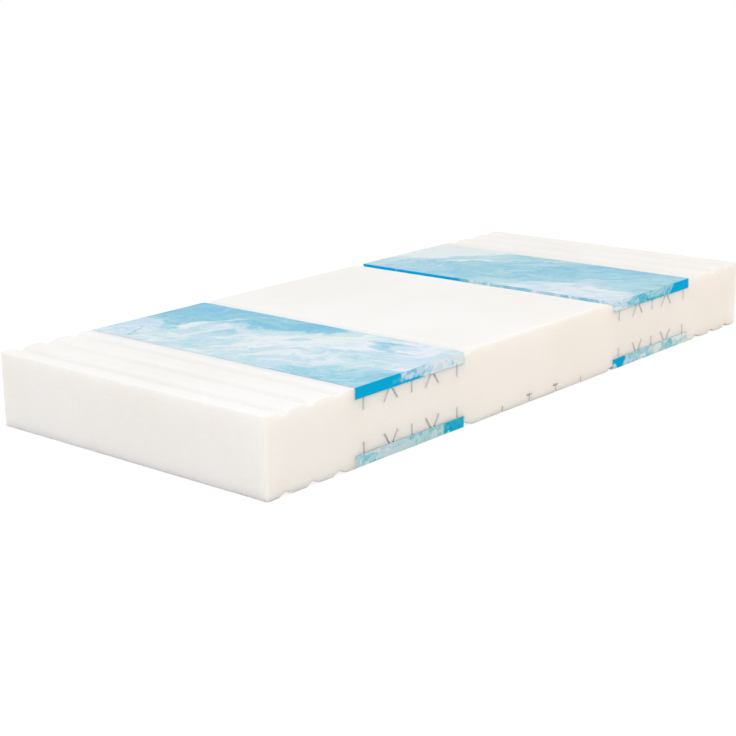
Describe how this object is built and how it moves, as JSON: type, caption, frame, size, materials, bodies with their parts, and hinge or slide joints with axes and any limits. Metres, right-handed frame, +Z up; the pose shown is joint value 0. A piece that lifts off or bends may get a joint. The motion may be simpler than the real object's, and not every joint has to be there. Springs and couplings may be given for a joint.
{
  "type": "pressure relief mattress core",
  "caption": "Bare foam mattress core with waves cut across both ends, slits in the sides and blue marbled gel-foam pads let into both faces.",
  "frame": {"origin": "centre of the underside, on the surface that the mattress lies on", "axes": "+X along the length towards the head end, +Y across the width, +Z up out of the lying face"},
  "size_m": [2, 0.88, 0.185],
  "materials": {
    "cold_foam": "matte",
    "marbled_gel_foam": "matte",
    "adhesive": "satin"
  },
  "bodies": {
    "root": {"foam_core": "cold_foam", "foot_bottom_gel_pad": "marbled_gel_foam", "foot_bottom_bond_film": "adhesive", "foot_top_gel_pad": "marbled_gel_foam", "foot_top_bond_film": "adhesive", "head_bottom_gel_pad": "marbled_gel_foam", "head_bottom_bond_film": "adhesive", "head_top_gel_pad": "marbled_gel_foam", "head_top_bond_film": "adhesive"}
  },
  "joints": []
}
